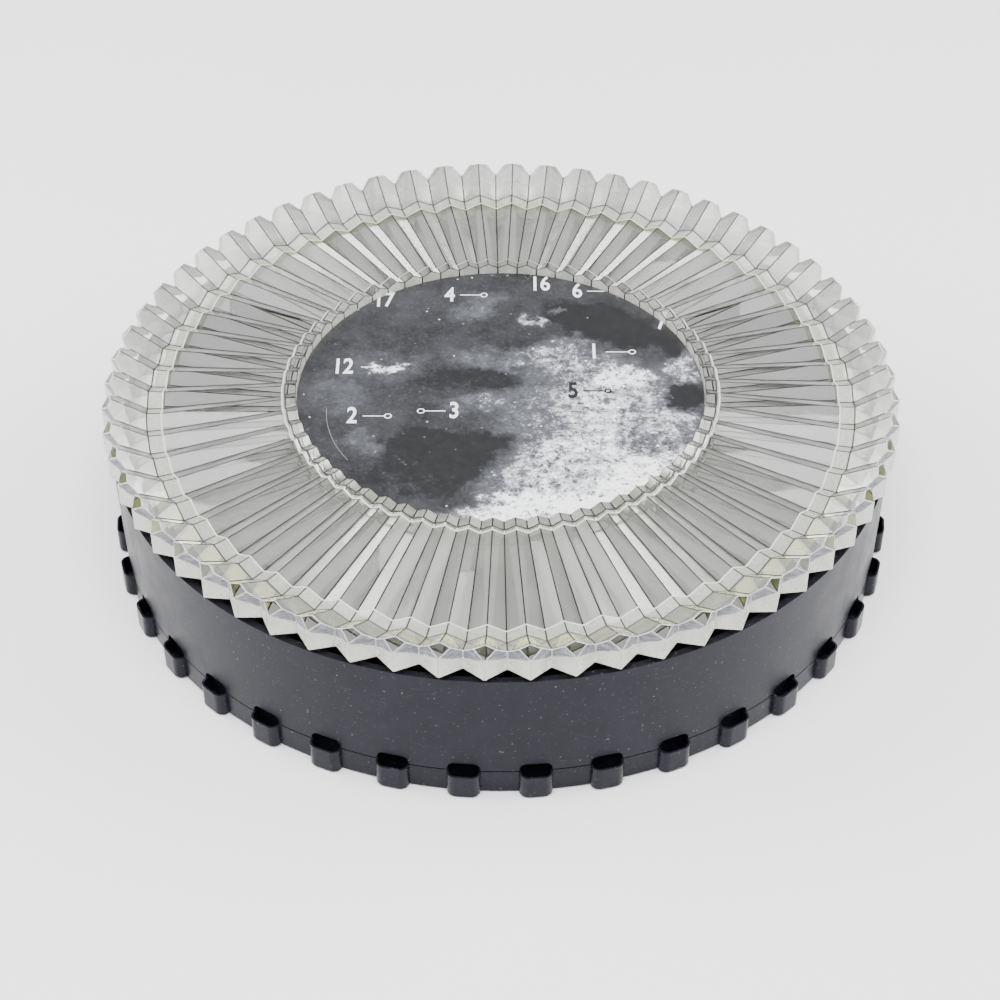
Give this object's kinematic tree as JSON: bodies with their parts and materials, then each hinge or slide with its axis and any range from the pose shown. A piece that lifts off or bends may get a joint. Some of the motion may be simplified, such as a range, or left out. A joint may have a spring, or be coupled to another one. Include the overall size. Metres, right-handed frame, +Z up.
{
  "type": "survey prism",
  "caption": "Round survey prism: a fluted clear prism ring around a Moon chart, on a cover that turns on a black drum and lifts off it, with hollow index lugs round the foot.",
  "frame": {"origin": "centre of the round footprint, on the surface that the feet stand on", "axes": "+Z up along the drum's axis, +X to the right and +Y away from the viewer, with the chart's top towards +Y"},
  "size_m": [0.299, 0.2988, 0.0703],
  "materials": {
    "drum_plastic": "semi-gloss moulded black plastic with fine dust and scratches",
    "foot_ring_plastic": "semi-gloss moulded black plastic, glossy inside the lugs",
    "inner_plastic": "matt moulded black plastic",
    "foot_rubber": "matt rubber",
    "screw_steel": "zinc plated",
    "pivot_steel": "turned bright",
    "glide_nylon": "natural nylon",
    "bush_brass": "turned",
    "reflector": "satin light grey reflector",
    "clear_acrylic": "clear polished acrylic with a slight yellow-green tint",
    "chart_board": "matt board",
    "chart_print": "satin printed sheet"
  },
  "bodies": {
    "drum": {"lug_ring": "foot_ring_plastic", "drum_wall": "drum_plastic", "support_ring": "inner_plastic", "base_plate": "inner_plastic", "foot_1": "foot_rubber", "foot_2": "foot_rubber", "foot_3": "foot_rubber", "foot_4": "foot_rubber", "base_screw_1": "screw_steel", "base_screw_2": "screw_steel", "base_screw_3": "screw_steel", "base_screw_4": "screw_steel", "base_screw_5": "screw_steel", "base_screw_6": "screw_steel", "pivot_post": "pivot_steel", "post_screw_1": "screw_steel", "post_screw_2": "screw_steel", "post_screw_3": "screw_steel", "thrust_washer": "pivot_steel", "top_washer": "pivot_steel", "retaining_clip": "pivot_steel", "glide_pad_1": "glide_nylon", "glide_pad_2": "glide_nylon", "glide_pad_3": "glide_nylon", "glide_pad_4": "glide_nylon", "glide_pad_5": "glide_nylon", "glide_pad_6": "glide_nylon"},
    "turntable": {"turntable": "inner_plastic", "pivot_bush": "bush_brass", "locating_pin_1": "pivot_steel", "locating_pin_2": "pivot_steel", "locating_pin_3": "pivot_steel"},
    "cover": {"cover_tray": "inner_plastic", "reflector_disc": "reflector", "prism_ring": "clear_acrylic", "chart_board": "chart_board", "moon_chart": "chart_print"}
  },
  "joints": [
    {"name": "cover_turn", "type": "hinge", "parent": "drum", "child": "turntable", "pos_m": [0, 0, 0.0448], "axis": [0, 0, 1], "continuous": true},
    {"name": "cover_lift", "type": "slide", "parent": "turntable", "child": "cover", "axis": [0, 0, 1], "range_m": [0, 0.08]}
  ]
}
